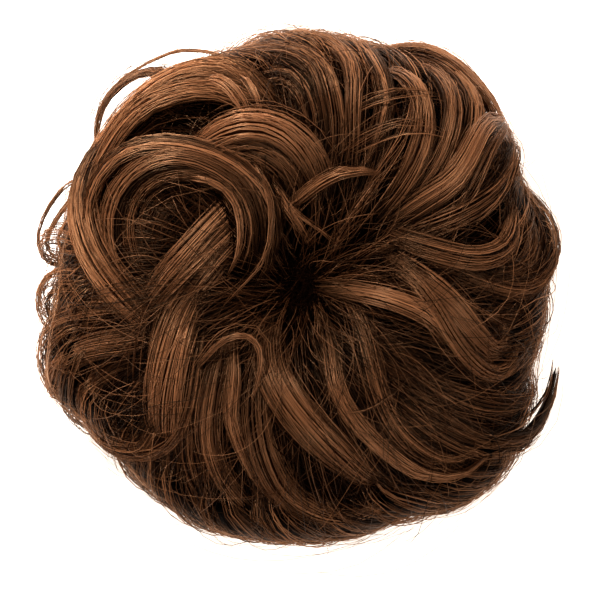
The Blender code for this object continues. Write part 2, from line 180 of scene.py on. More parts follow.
# %% The ring under the locks
CORE_RADIUS = 42.0
CORE_HEIGHT = 25.0
BUN_RIM = (76, 75, 80, 78, 78, 74, 75, 75, 77, 81, 77, 79, 78, 77, 85, 78)
PAD_FOOT = ((17.5, 9), (26, 8.9), (27, 1.8), (40, 1.5))
PAD_CROWN = ((11.5, 17), (10.5, 27), (15, 38), (28, 44), (42, 46), (56, 43))
PAD_SIDE = ((10, 35), (6, 22), (10, 10), (24, 3))
DENTS = ((169, 5.5, 6), (184, 5.5, 5), (219, 5, 6), (340, 3, 10))


def joined(*parts):
    """Arrays side by side, as the values of a new last axis."""
    return np.stack(np.broadcast_arrays(*parts), axis=-1)


def polar(radius, angle, height):
    return joined(radius * np.cos(angle), radius * np.sin(angle), height)


def even_turns(count):
    return np.arange(count) * 2 * pi / count


def at_angle(angle, values):
    """The value at each angle, where the values are in even steps from +X towards +Y."""
    return np.interp(angle, [*even_turns(len(values)), 2 * pi], [*values, values[0]])


def rim_radius(angle):
    """How far the bun reaches at these angles."""
    angle = np.mod(angle, 2 * pi)
    reach = at_angle(angle, BUN_RIM)
    for middle, depth, spread in DENTS:
        reach = reach - depth * np.exp(-(((angle - radians(middle)) / radians(spread)) ** 2))
    return reach


def unit(vectors):
    return vectors / np.maximum(np.linalg.norm(vectors, axis=-1, keepdims=True), 1e-9)


def outward(points):
    """Away from the middle of the bun's ring: the way that is up for hair lying there."""
    angle = np.arctan2(points[..., 1], points[..., 0])
    return unit(points - polar(CORE_RADIUS, angle, CORE_HEIGHT))


# %% [markdown]
# ## Smooth curves
#
# Curled hair has no corners, and a curve drawn through a few points has tight places near them. So each
# path is sampled finely, and then every sample moves a few times to the middle of its neighbours. The
# frame that a lock's section is drawn in turns with the path, and it is evened out in the same way, so
# that no lock kinks where it dives into the bun.

# %% Paths and frames
FINE_STEP = 1.0
EASE_PATH = 10
EASE_FRAME = 14


def eased(rows, passes):
    """Rows moved towards their neighbours' middle, with both ends kept."""
    rows = rows.copy()
    for _ in range(passes):
        rows[1:-1] = rows[1:-1] / 2 + (rows[:-2] + rows[2:]) / 4
    return rows


def even_rows(rows, samples):
    reach = np.concatenate([[0], np.cumsum(np.linalg.norm(np.diff(rows, axis=0), axis=1))])
    even = np.linspace(0, reach[-1], samples)
    return np.stack([np.interp(even, reach, rows[:, axis]) for axis in range(3)], axis=1), reach[-1]


def smooth_path(points, samples):
    """Even samples along a smooth curve through the points, and its length."""
    p = np.array(points, float)
    p = np.vstack([2 * p[0] - p[1], p, 2 * p[-1] - p[-2]])
    t = np.linspace(0, 1, 12, endpoint=False)[:, None]
    spans = []
    for a, b, c, d in zip(p, p[1:], p[2:], p[3:]):
        square = (2 * a - 5 * b + 4 * c - d) * t**2
        cube = (3 * b - a - 3 * c + d) * t**3
        spans.append(0.5 * (2 * b + (c - a) * t + square + cube))
    rough = np.vstack([*spans, p[-2:-1]])
    rough_length = np.linalg.norm(np.diff(rough, axis=0), axis=1).sum()
    fine, length = even_rows(rough, 2 + int(rough_length / FINE_STEP))
    return even_rows(eased(fine, EASE_PATH), samples)


def axes_along(points):
    """The ways along, across and out of a path, at each of its points."""
    along = unit(np.gradient(points, axis=0))
    across = eased(np.cross(along, outward(points)), EASE_FRAME)
    across = unit(across - along * (across * along).sum(axis=1, keepdims=True))
    return along, across, np.cross(across, along)


# %% [markdown]
# ## The finish of the hair
#
# False hair is drawn plastic fibre: brown right through, a little fairer on some strands than on others,
# and silky. Towards the root it is darkened and loses its gloss, which is painted shade where the locks
# dive into the dark middle, and darker strands get less gloss, also painted shade. Two materials need that,
# the strands and the packed hair below them, so it is a node group. It reads a UV map in which u is how
# fair a strand is, painted light and shade included, and v runs from root to tip. That costs nothing at
# render time, and a strand keeps its colour wherever it lies. Fine streaks come from a noise that is drawn
# out along v.

# %% A node group for the tone of hair
SHADE_BROWN = (0.0022, 0.0006, 0.0002, 1)
DEEP_BROWN = (0.0105, 0.0027, 0.0010, 1)
WARM_BROWN = (0.0820, 0.0252, 0.0081, 1)
FAIR_BROWN = (0.4500, 0.1880, 0.0800, 1)
# Only the hairs along the outline reach this top stop: painted light from behind.
RIM_LIGHT_BROWN = (0.8000, 0.5200, 0.3600, 1)
STREAK_STRETCH = 3.0
ROOT_SHARE = 0.45


def add_node(tree, kind, place, **values):
    """A shader node at a place in columns and rows, with attributes and inputs by name."""
    node = tree.nodes.new("ShaderNode" + kind)
    node.location = (place[0] * 200, place[1] * -180)
    for name, value in values.items():
        if hasattr(node, name):
            setattr(node, name, value)
        else:
            node.inputs[name.replace("_", " ")].default_value = value
    return node


def add_math(tree, operation, place, second=None):
    """A math node, with its second value where that is fixed."""
    node = add_node(tree, "Math", place, operation=operation)
    if second is not None:
        node.inputs[1].default_value = second
    return node


def connect(tree, *wires):
    """Links, each given by a node and its output, then a node and its input."""
    for source, output, target, socket in wires:
        tree.links.new(source.outputs[output], target.inputs[socket])


def set_stops(ramp, first, last, *middle):
    """The stops of a colour ramp, each a position and a colour."""
    ends = ramp.color_ramp.elements
    ends[0].position, ends[0].color = first
    ends[1].position, ends[1].color = last
    for position, colour in middle:
        ends.new(position).color = colour


def new_group(name, inputs, outputs):
    """An empty node group with named sockets, and its two end nodes."""
    group = bpy.data.node_groups.new(name, "ShaderNodeTree")
    for direction, sockets in (("INPUT", inputs), ("OUTPUT", outputs)):
        for socket, kind in sockets:
            group.interface.new_socket(socket, in_out=direction, socket_type="NodeSocket" + kind)
    start, end = group.nodes.new("NodeGroupInput"), group.nodes.new("NodeGroupOutput")
    end.location.x = 1800
    return group, start, end


def hair_tone_group():
    group, start, end = new_group(
        "hair_tone",
        (("Strand", "Vector"), ("Streaks", "Float"), ("Grain", "Float"), ("Root shade", "Float")),
        (("Color", "Color"), ("Roughness", "Float"), ("Gloss", "Float"), ("Streak", "Float")))
    parts = add_node(group, "SeparateXYZ", (1, 0))
    spread = add_math(group, "MULTIPLY", (2, 1))
    drawn = add_math(group, "MULTIPLY", (2, 2), STREAK_STRETCH)
    place = add_node(group, "CombineXYZ", (3, 1))
    grain = add_node(group, "TexNoise", (4, 1), Scale=1.0, Detail=3.0, Roughness=0.65)
    centred = add_math(group, "SUBTRACT", (5, 1), 0.5)
    tone = add_math(group, "MULTIPLY_ADD", (6, 0))
    ramp = add_node(group, "ValToRGB", (7, 0))
    set_stops(
        ramp, (0.0, SHADE_BROWN), (1.0, RIM_LIGHT_BROWN),
        (0.25, DEEP_BROWN), (0.58, WARM_BROWN), (0.88, FAIR_BROWN))
    # Painted shade: the root mask darkens the colour and the gloss over the first ROOT_SHARE of each
    # strand, and the gloss also falls with the tone.
    root = add_node(group, "MapRange", (6, 2), interpolation_type="SMOOTHSTEP", From_Max=ROOT_SHARE)
    dark = add_node(group, "Mix", (8, 0), data_type="RGBA", blend_type="MULTIPLY", Factor=1.0)
    rough = add_node(group, "MapRange", (8, 1), To_Min=0.44, To_Max=0.32)
    bright = add_node(group, "MapRange", (7, 2), From_Min=0.10, From_Max=0.75, To_Min=0.20)
    gloss = add_math(group, "MULTIPLY", (8, 2))
    connect(
        group,
        (start, "Strand", parts, 0), (parts, "X", spread, 0), (start, "Streaks", spread, 1),
        (parts, "Y", drawn, 0), (spread, 0, place, "X"), (drawn, 0, place, "Y"),
        (place, 0, grain, "Vector"), (grain, "Fac", centred, 0),
        (centred, 0, tone, 0), (start, "Grain", tone, 1), (parts, "X", tone, 2), (tone, 0, ramp, "Fac"),
        (parts, "Y", root, "Value"), (start, "Root shade", root, "To Min"),
        (ramp, "Color", dark, "A"), (root, "Result", dark, "B"), (tone, 0, rough, "Value"),
        (tone, 0, bright, "Value"), (bright, "Result", gloss, 0), (root, "Result", gloss, 1),
        (dark, "Result", end, "Color"), (rough, "Result", end, "Roughness"),
        (gloss, 0, end, "Gloss"), (grain, "Fac", end, "Streak"))
    return group


HAIR_TONE = hair_tone_group()
print("hair tone group:", len(HAIR_TONE.nodes), "nodes")

# %% [markdown]
# The two hair materials differ in their values only. Loose strands are glossier, and the imported hair
# below, whose low gloss is painted shade, has a deeper painted shade at the root and streaks strong
# enough to read as strands.

# %% Two hair materials
STRAND_MAP = "strand"
BAKE_MAP = "OFBake"
FIBRE_TINT = (1.0, 0.58, 0.32, 1)


def new_material(name):
    """A material with nodes, its tree and its shader."""
    made = bpy.data.materials.new(name)
    made.use_nodes = True
    return made, made.node_tree, made.node_tree.nodes["Principled BSDF"]


def hair_material(name, streaks, grain, root_painted_shade, specular, relief):
    made, tree, shader = new_material(name)
    shader.inputs["Specular Tint"].default_value = FIBRE_TINT
    place = add_node(tree, "UVMap", (-3, 0), uv_map=STRAND_MAP)
    tone = add_node(
        tree, "Group", (-2, 0), node_tree=HAIR_TONE,
        Streaks=streaks, Grain=grain, Root_shade=root_painted_shade)
    glossy = add_math(tree, "MULTIPLY", (-1, 1), specular)
    connect(
        tree,
        (place, 0, tone, "Strand"), (tone, "Gloss", glossy, 0), (glossy, 0, shader, "Specular IOR Level"),
        (tone, "Color", shader, "Base Color"), (tone, "Roughness", shader, "Roughness"))
    if relief:
        ridges = add_node(tree, "Bump", (-1, 2), Strength=relief, Distance=0.0005)
        connect(tree, (tone, "Streak", ridges, "Height"), (ridges, 0, shader, "Normal"))
    return made


strand_finish = hair_material(
    "hair_strands", streaks=40, grain=0.22, root_painted_shade=0.05, specular=1.3, relief=0)
# The low gloss of the packed hair is painted shade for hair that lies under other hair.
packed_finish = hair_material(
    "hair_packed", streaks=420, grain=0.60, root_painted_shade=0.06, specular=0.25, relief=0.9)
print("hair materials:", strand_finish.name, packed_finish.name)

# %% [markdown]
# ## Meshes from arrays
#
# Blender has a hair object, but the finished model is a mesh, so each strand is a thin closed tube with
# three sides. Thousands of them come from one array of points, which is far quicker than making them one
# by one. `add_mesh` turns arrays of points, triangles and UV coordinates into an object, and
# `finish_piece` makes it ride on the solid body and stand for the solid that it covers.

# %% Mesh helpers
def add_object(name, data):
    made = bpy.data.objects.new(name, data)
    bpy.context.scene.collection.objects.link(made)
    return made


def add_mesh(name, points, faces, uv, surface):
    """A smooth mesh object of points in millimetres, with uv for each point or each face corner."""
    mesh = bpy.data.meshes.new(name)
    mesh.vertices.add(len(points))
    mesh.vertices.foreach_set("co", (points * MM).astype(np.float32).ravel())
    mesh.loops.add(faces.size)
    mesh.polygons.add(len(faces))
    mesh.loops.foreach_set("vertex_index", faces.astype(np.int32).ravel())
    mesh.polygons.foreach_set("loop_start", np.arange(len(faces), dtype=np.int32) * faces.shape[1])
    mesh.update(calc_edges=True)
    corners = uv if len(uv) == faces.size else uv[faces.ravel()]
    for map_name in (STRAND_MAP, BAKE_MAP):
        layer = mesh.uv_layers.new(name=map_name)
        layer.uv.foreach_set("vector", corners.astype(np.float32).ravel())
    mesh.materials.append(surface)
    mesh.shade_smooth()
    return add_object(name, mesh)


def finish_piece(made, slot, *nodes):
    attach(made, "root")
    if nodes:
        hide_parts(*nodes)
    print(f"{made.name}: {len(made.data.polygons)} triangles")
    return made


def split_quads(quads):
    return np.concatenate([quads[:, [0, 1, 2]], quads[:, [0, 2, 3]]])


def grid_quads(rows, columns):
    """The quads of a surface that closes on itself both ways, such as a ring with a round section."""
    row, column = np.meshgrid(np.arange(rows), np.arange(columns), indexing="ij")
    after, beside = (row + 1) % rows, (column + 1) % columns
    corners = [
        row * columns + column, after * columns + column,
        after * columns + beside, row * columns + beside]
    return np.stack(corners, axis=-1).reshape(-1, 4)


def tube_faces(tubes, rings, sides):
    """The triangles of that many tubes, each a row of rings, closed at both ends."""
    corner = np.arange(sides)
    after = (corner + 1) % sides
    ring = np.arange(rings - 1)[:, None] * sides
    quads = np.stack([ring + corner, ring + after, ring + sides + after, ring + sides + corner], axis=-1)
    fan = np.arange(1, sides - 1)
    first = np.stack([np.zeros_like(fan), fan + 1, fan], axis=1)
    last = np.stack([np.zeros_like(fan), fan, fan + 1], axis=1) + (rings - 1) * sides
    one = np.concatenate([split_quads(quads.reshape(-1, 4)), first, last])
    start = np.arange(tubes)[:, None, None] * rings * sides
    return (one[None] + start).reshape(-1, 3)


# %% [markdown]
# ## The elastic and its weft
#
# Below, an elastic cord holds the piece round the wearer's bun. Its rubber has a braided cover, and the
# weft, a woven tape, is folded round it and closed with overlock stitches. The braid and the gathers of
# the tape are modelled, because they show from below, and only the threads are a texture. Both are rings,
# so one helper lays a section round the loop, with UV coordinates that count once round it and once round
# the section.

# %% Rings round the loop
LOOP_RADIUS = 21.0
CORD_RADIUS = 2.4
CORD_HEIGHT = 4.4


def loop_points(turn, reach, angle):
    """Points at a turn round the loop, and at a reach and an angle from the middle of the cord."""
    return polar(LOOP_RADIUS + reach * np.cos(angle), turn, CORD_HEIGHT + reach * np.sin(angle))


def add_loop(name, points, surface, slot, node):
    """A closed surface through a grid of points that runs round the loop and round its section."""
    rows, columns = points.shape[:2]
    quads = grid_quads(rows, columns)
    row, column = np.divmod(np.arange(rows * columns), columns)
    corner = np.array([(0, 0), (1, 0), (1, 1), (0, 1)])
    uv = (np.stack([row, column], axis=1)[:, None] + corner) / (rows, columns)
    split = np.concatenate([uv[:, [0, 1, 2]], uv[:, [0, 2, 3]]]).reshape(-1, 2)
    sheet = add_mesh(name, points.reshape(-1, 3), split_quads(quads), split, surface)
    return finish_piece(sheet, slot, node)


# %% [markdown]
# Plain weave is a grid of threads that pass over and under each other by turns. The group gives the
# height of the upper thread at each place and a mask of which set of threads is on top. The cover, the
# tape and the sewing thread use it with their own thread counts.

# %% A node group for threads
def woven_threads_group():
    group, start, end = new_group(
        "woven_threads", (("Place", "Vector"), ("Around", "Float"), ("Across", "Float")),
        (("Height", "Float"), ("Over", "Float")))
    parts = add_node(group, "SeparateXYZ", (1, 0))
    both = add_math(group, "ADD", (4, 2))
    odd = add_math(group, "MODULO", (5, 2), 2.0)
    over = add_math(group, "ABSOLUTE", (6, 2))
    upper = add_node(group, "Mix", (7, 0), data_type="FLOAT")
    height = add_math(group, "MULTIPLY", (8, 0), 2.0)
    for row, (axis, count, side) in enumerate((("X", "Around", "A"), ("Y", "Across", "B"))):
        scaled = add_math(group, "MULTIPLY", (2, row))
        wave = add_math(group, "PINGPONG", (3, row), 0.5)
        cell = add_math(group, "FLOOR", (3, row + 2))
        connect(
            group,
            (parts, axis, scaled, 0), (start, count, scaled, 1), (scaled, 0, wave, 0), (scaled, 0, cell, 0),
            (cell, 0, both, row), (wave, 0, upper, side))
    connect(
        group,
        (start, "Place", parts, 0), (both, 0, odd, 0), (odd, 0, over, 0), (over, 0, upper, "Factor"),
        (upper, "Result", height, 0), (height, 0, end, "Height"), (over, 0, end, "Over"))
    return group


WOVEN_THREADS = woven_threads_group()


def thread_material(name, around, across, low, high, relief):
    """Woven or twisted thread: darker between the threads, which is painted shade, and dull."""
    made, tree, shader = new_material(name)
    shader.inputs["Specular IOR Level"].default_value = 0.3
    shader.inputs["Sheen Weight"].default_value = 0.25
    place = add_node(tree, "UVMap", (-5, 0), uv_map=STRAND_MAP)
    threads = add_node(tree, "Group", (-4, 0), node_tree=WOVEN_THREADS, Around=around, Across=across)
    fuzz = add_node(tree, "TexNoise", (-4, 2), Scale=90.0, Detail=2.0)
    level = add_math(tree, "MULTIPLY", (-3, 1))
    # Painted shade: the colour darkens where the thread is low, between the threads.
    colour = add_node(tree, "ValToRGB", (-2, 0))
    set_stops(colour, (0.0, (*low, 1)), (0.6, (*high, 1)))
    rough = add_node(tree, "MapRange", (-2, 2), To_Min=0.95, To_Max=0.72)
    raised = add_node(tree, "Bump", (-1, 2), Strength=relief, Distance=0.0002)
    connect(
        tree,
        (place, 0, threads, "Place"), (place, 0, fuzz, "Vector"),
        (threads, "Height", level, 0), (fuzz, "Fac", level, 1), (level, 0, colour, "Fac"),
        (threads, "Over", rough, "Value"), (threads, "Height", raised, "Height"),
        (colour, "Color", shader, "Base Color"), (rough, "Result", shader, "Roughness"),
        (raised, 0, shader, "Normal"))
    return made


cover_finish = thread_material(
    "braided_cover", 384, 24, (0.004, 0.0035, 0.0035), (0.035, 0.030, 0.030), 0.8)
tape_finish = thread_material("woven_tape", 300, 44, (0.006, 0.003, 0.002), (0.075, 0.036, 0.022), 0.9)
sewing_finish = thread_material("sewing_thread", 14, 3, (0.020, 0.009, 0.005), (0.130, 0.060, 0.034), 0.6)

# %% [markdown]
# The braid's strands cross at a slant, so two slanted waves that run round the cord give its relief, and
# the higher one of the two wins. The tape gathers where the elastic draws it together, more on its
# outside.

# %% Braided cover of the cord
BRAID_STRANDS = 64
BRAID_TURNS = 4
BRAID_RELIEF = 0.10

turn = even_turns(384)[:, None]
angle = even_turns(24)[None, :]
slants = [np.cos(BRAID_STRANDS * turn + side * BRAID_TURNS * angle) for side in (-1, 1)]
reach = CORD_RADIUS - BRAID_RELIEF + BRAID_RELIEF * np.maximum(*slants)
add_loop("elastic_cover", loop_points(turn, reach, angle), cover_finish, "elastic", "elastic_band")

# %% Folded tape
WEFT_LINING = 2.9
WEFT_COVER = 4.2
WEFT_LIPS = (150, 215)
GATHERS = 46
GATHER_DEPTH = 0.16
TAPE_ROWS = 320
FACE_POINTS = 22

upper_lip, lower_lip = radians(WEFT_LIPS[0]), radians(WEFT_LIPS[1] - 360)
down = np.linspace(upper_lip, lower_lip, FACE_POINTS)
edge = radians(7)
angle = np.concatenate([down, [lower_lip - edge], down[::-1], [upper_lip + edge]])[None, :]
side = np.concatenate([np.zeros(FACE_POINTS), [0.5], np.ones(FACE_POINTS), [0.5]])[None, :]
turn = even_turns(TAPE_ROWS)[:, None]
folds = np.cos(GATHERS * turn + 1.5 * np.sin(3 * turn)) * (0.6 + 0.4 * np.cos(angle))
cover = WEFT_COVER + 0.45 * np.maximum(0, -np.sin(angle)) ** 2 - GATHER_DEPTH + GATHER_DEPTH * folds
tape = loop_points(turn, WEFT_LINING + (cover - WEFT_LINING) * side, angle)
tape[..., 2] = np.maximum(tape[..., 2], 0.02)
add_loop("weft_tape", tape, tape_finish, "weft", "weft_band")

# %% Overlock stitches along both lips of the tape
STITCHES = 104
STITCH_RADIUS = 0.20
STITCH_SLANT = 0.055
STITCH_SIDES = 6


def stitch_row(lip, inward):
    """Threads from the lining over the lip of the tape to its cover, one after another round the loop."""
    reach = np.array([2.75, 3.1, 3.75, 4.35, 4.42])
    angle = np.radians(lip + inward * np.array([13, -5, -6, 10, 24]))
    start = even_turns(STITCHES)[:, None]
    return loop_points(start + np.linspace(0, STITCH_SLANT, len(reach)), reach, angle)


rows = np.concatenate([stitch_row(WEFT_LIPS[0], -1), stitch_row(WEFT_LIPS[1], 1)])
along = unit(np.gradient(rows, axis=1))
beside = unit(np.cross(along, np.array([0, 0, 1.0])))
above = np.cross(beside, along)
turn = even_turns(STITCH_SIDES)
ring = beside[:, :, None] * np.cos(turn)[:, None] + above[:, :, None] * np.sin(turn)[:, None]
points = (rows[:, :, None] + ring * STITCH_RADIUS).reshape(-1, 3)
uv = joined(np.linspace(0, 1, rows.shape[1])[None, :, None], np.abs(turn / pi - 1))
uv = np.broadcast_to(uv, (len(rows), *uv.shape[1:])).reshape(-1, 2)
stitches = add_mesh("weft_stitches", points, tube_faces(*rows.shape[:2], STITCH_SIDES), uv, sewing_finish)
finish_piece(stitches, "weft", "weft_band")

# %% [markdown]
# ## The imported hair below
#
# Between the locks one looks down on root hair that is packed too close to see through. It is a ring with
# the passage through it, and a smooth core inside each lock. Without it white would show between the
# strands. Its dark tone is painted shade, for hair that lies under the locks.

# %% The imported ring and the cores of the locks
RING_SEGMENTS = 160
CORE_SHARE = 0.78
CORE_SIDES = 12
CORE_RINGS = 30


def add_packed_ring():
    angle = even_turns(RING_SEGMENTS)
    inward, height = np.array(PAD_SIDE).T
    side = joined(rim_radius(angle)[:, None] - inward, height)
    crown, foot = (np.broadcast_to(rows, (len(angle), len(rows), 2)) for rows in (PAD_CROWN, PAD_FOOT))
    section = np.concatenate([foot[:, :1], crown, side, foot[:, :0:-1]], axis=1)
    radius, height = section[..., 0], section[..., 1]
    points = polar(radius, angle[:, None], height)
    faces = split_quads(grid_quads(*radius.shape))
    # Painted shade: the ring's tone is kept near the dark end of the ramp.
    u = 0.05 + 0.09 * np.abs(np.mod(angle * 10 / pi, 2) - 1)
    uv = joined(u[:, None], np.linspace(0, 1, radius.shape[1]))
    return add_mesh("hair_ring", points.reshape(-1, 3), faces, uv.reshape(-1, 2), packed_finish)


def fullness(t, tip):
    """A lock's girth at t of its length: gathered at the root, full in the middle, drawn in at the tip."""
    return np.minimum(1, 0.4 + 2.4 * t) * np.minimum(1, tip + (1 - tip) * (1 - t) / 0.3)


def lock_core(path, width, thick, tone):
    """The core inside one lock, as rings of points and their UV coordinates."""
    turn = even_turns(CORE_SIDES)
    t = np.linspace(0, 1, CORE_RINGS)
    closing = np.sqrt(np.minimum(1, np.minimum(t + 0.0005, 1.0005 - t) * 25))
    middle, _ = smooth_path(path, CORE_RINGS)
    _, across, out = axes_along(middle)
    girth = (fullness(t, 0.25) * closing * CORE_SHARE)[:, None]
    groove = 1 + 0.05 * np.sin(5 * turn + 3 * t[:, None] + width) + 0.04 * np.sin(9 * turn - 4 * t[:, None])
    wide = across[:, None] * (np.cos(turn) * groove * girth * width / 2)[..., None]
    deep = out[:, None] * (np.sin(turn) * groove * girth * thick / 2)[..., None]
    # Painted shade: the cores are darker than their locks.
    u = 0.05 + 0.36 * tone + 0.10 * (np.abs(turn / pi - 1) - 0.5)
    return (middle - out * 0.5)[:, None] + wide + deep, joined(u, t[:, None])


def add_cores(name, locks):
    """One mesh of the cores of these locks, each given by its path, width, thickness and tone."""
    points, uvs = zip(*[lock_core(*lock) for lock in locks])
    faces = tube_faces(len(locks), CORE_RINGS, CORE_SIDES)
    points, uvs = np.array(points).reshape(-1, 3), np.array(uvs).reshape(-1, 2)
    made = add_mesh(name, points, faces, uvs, packed_finish)
    return finish_piece(made, "hair", "hair_locks")


finish_piece(add_packed_ring(), "hair", "hair_locks")
add_cores("curl_cores", [
    (path, width, thick, tone) for name, width, thick, tone, path in LOCKS if name not in AIRY])

# %% [markdown]
# ## Strands
#
# A lock's strands all follow its middle. Each keeps its own place round the lock's section, drifts a
# little towards a few neighbours near the tip, as curled fibre does, and starts and ends at its own
# point. Strands that run level with their lock make it silky, some cross it, and a few stray.
# `lay_strands` works out the middle of every strand of one lock as an array, and `add_strands` makes
# tubes of them.

# %% Lay strands along a path
RING_SPACING = 8.5
RING_BEND = 0.33
FEWEST_RINGS = 6
MOST_RINGS = 20
PER_CLUMP = 4
CROSSING_SHARE = 0.20
FRINGE_SHARE = 0.12
FAIR_FROM = 0.66
MOST_FAIR = 0.87
ROOT_TUCK, TIP_TUCK = 7, 6
MIDDLE_SAMPLES = 100
SEAT_REACH = 1.75
LIT_FROM = 0.45


def strand_tones(tone, clump_tone, seat, level, crossing):
    """How light each strand is, with painted light and shade: lighter where it faces out of its lock,
    darker on its sides and in its lower layers, no darker than its lock where it crosses.
    """
    own = rng.normal(0, 0.16, len(clump_tone))
    # Painted light and shade: strands on the top of a lock are lighter, those on its sides darker.
    fair_and_painted_light = tone + clump_tone + own + 0.44 * (np.cos(seat).mean(axis=1) - 0.6)
    # Painted shade: strands low in the lock are darker, those high in it lighter.
    fair_and_painted_light = fair_and_painted_light + 0.7 * np.minimum(level.mean(axis=1) - 0.96, 0.12)
    fair_and_painted_light = 0.86 * np.where(crossing, np.maximum(fair_and_painted_light, tone) + 0.05, fair_and_painted_light)
    return np.minimum(fair_and_painted_light - 0.55 * np.maximum(0, fair_and_painted_light - FAIR_FROM), MOST_FAIR)


def lay_strands(path, width, thick, tone, count, tip=0.45, tuck=(ROOT_TUCK, TIP_TUCK), stray=0.035,
                raise_by=0.0, shaded=True):
    """The strands of one lock: middles, the way out at each point, how light each is with its painted light
    and shade, and how thick each is.
    """
    points = [np.array(point, float) for point in path]
    if tuck[0]:
        points.insert(0, points[0] + (points[0] - points[1]) * 0.25 - outward(points[0]) * tuck[0])
    if tuck[1]:
        points.append(points[-1] + (points[-1] - points[-2]) * 0.25 - outward(points[-1]) * tuck[1])
    middle, length = smooth_path(points, MIDDLE_SAMPLES)
    along, across, out = axes_along(middle)
    bend = np.arccos(np.clip((along[1:] * along[:-1]).sum(axis=1), -1, 1)).sum()
    rings = int(np.clip(max(length / RING_SPACING, bend / RING_BEND), FEWEST_RINGS, MOST_RINGS))
    start = 0.22 * rng.random((count, 1)) ** 1.5
    end = 1 - 0.35 * rng.random((count, 1)) ** 2.5
    t = start + (end - start) * np.linspace(0, 1, rings)
    grid = np.linspace(0, 1, len(middle))

    def at(values):
        return np.stack([np.interp(t, grid, values[:, axis]) for axis in range(3)], axis=-1)

    seat = rng.permutation(np.linspace(-SEAT_REACH, SEAT_REACH, count))[:, None]
    clumps = max(3, round(count / PER_CLUMP))
    clump = np.clip(((seat + SEAT_REACH) / (2 * SEAT_REACH) * clumps).astype(int), 0, clumps - 1)
    clump_seat = (np.linspace(-1.6, 1.6, clumps) + rng.normal(0, 0.12, clumps))[clump]
    clump_tone = rng.normal(0, 0.20, clumps)[clump]
    level = 1.12 - 0.42 * rng.random((count, 1)) ** 1.3
    level = level + np.where(rng.random((count, 1)) < FRINGE_SHARE, rng.uniform(0.05, 0.45, (count, 1)), 0)
    pull = 0.12 + 0.42 * t**1.5
    seat = seat + (clump_seat - seat) * pull + 0.14 * np.sin(5 * t + clump_seat * 2 + rng.uniform(0, 6))
    crossing = rng.random((count, 1)) < CROSSING_SHARE
    slip = rng.normal(0, 1.0, (count, 1))
    seat = seat + np.where(crossing, slip * (t - 0.5) * 1.3, 0)
    level = level + np.where(crossing, 0.06 + 0.10 * np.abs(slip), 0)
    astray = rng.random((count, 1)) < stray
    bow = rng.normal(0, 1.0, (count, 1))
    lift = raise_by + np.where(astray, np.sin(pi * t) * np.abs(bow) * 1.8, 0)
    side = np.where(astray, np.sin(pi * t) * bow * 1.6, 0)

    girth = fullness(t, tip)
    centre = at(middle)
    centre = centre + at(across) * (width / 2 * girth * level * np.sin(seat) + side)[..., None]
    centre = centre + at(out) * (thick / 2 * girth * level * np.cos(seat) + lift)[..., None]
    fair_and_painted_light = strand_tones(tone, clump_tone[:, 0], seat, level, crossing[:, 0])
    fine = np.where(astray[:, 0], 0.62, np.where(crossing[:, 0], 0.85, rng.uniform(0.75, 1.35, count)))
    return centre, unit(at(out)), fair_and_painted_light, fine, 0.0 if shaded else LIT_FROM


FIBRE_RADIUS = 0.138
TUBE_TURNS = np.array([0.5, 7 / 6, 11 / 6]) * pi
LOWEST = 0.35


def add_strands(name, bundles, surface=None, radius=FIBRE_RADIUS):
    """One mesh of every strand in the bundles, each a tube with three sides and drawn-out ends."""
    points, faces, uvs, used = [], [], [], 0
    for centre, out, fair_and_painted_light, fine, from_v in bundles:
        count, rings = centre.shape[:2]
        along = unit(np.gradient(centre, axis=1))
        across = unit(np.cross(along, out))
        up = np.cross(across, along)
        t = np.linspace(0, 1, rings)
        taper = np.minimum(1, 0.10 + t * 8) * np.minimum(1, 0.08 + (1 - t) * 4)
        girth = (radius * fine[:, None] * taper)[..., None, None]
        ring = across[:, :, None] * np.cos(TUBE_TURNS)[:, None]
        ring = ring + up[:, :, None] * np.sin(TUBE_TURNS)[:, None]
        tube = centre[:, :, None] + ring * girth
        tube[..., 2] += np.maximum(0, LOWEST - tube[..., 2].min(axis=2, keepdims=True))
        points.append(tube.reshape(-1, 3))
        faces.append(tube_faces(count, rings, 3) + used)
        used += count * rings * 3
        u = np.clip(fair_and_painted_light, 0.02, 0.98)[:, None, None] + np.array([0.0, 0.008, 0.016])
        v = from_v + 0.01 + (0.98 - from_v) * t[None, :, None]
        uvs.append(joined(u, v).reshape(-1, 2))
    made = add_mesh(name, np.vstack(points), np.vstack(faces), np.vstack(uvs), surface or strand_finish)
    return finish_piece(made, "hair", "hair_locks")


# %% [markdown]
# ## The curls
#
# Wide locks get more strands than narrow ones, and each has a looser, darker layer of its own below it,
# so that what shows between two locks runs the way that they run. That layer's darker tone and duller
# finish are painted shade. The mesh is split into quarters of the bun, so that no piece is too heavy to
# handle.

# %% Strands of the curls
STRANDS_PER_MM = 9.6
BELOW_PER_MM = 2.8
LOCK_SHARE = 0.9
AIRY_SHARE = 0.35
PLACES = ("right", "top", "left", "bottom")


def quarter_of(path):
    """Which quarter of the bun the middle of a path is in: 0 right, 1 top, 2 left, 3 bottom."""
    x, y = np.array(path)[len(path) // 2][:2]
    return int(np.round(np.arctan2(y, x) / (pi / 2))) % 4


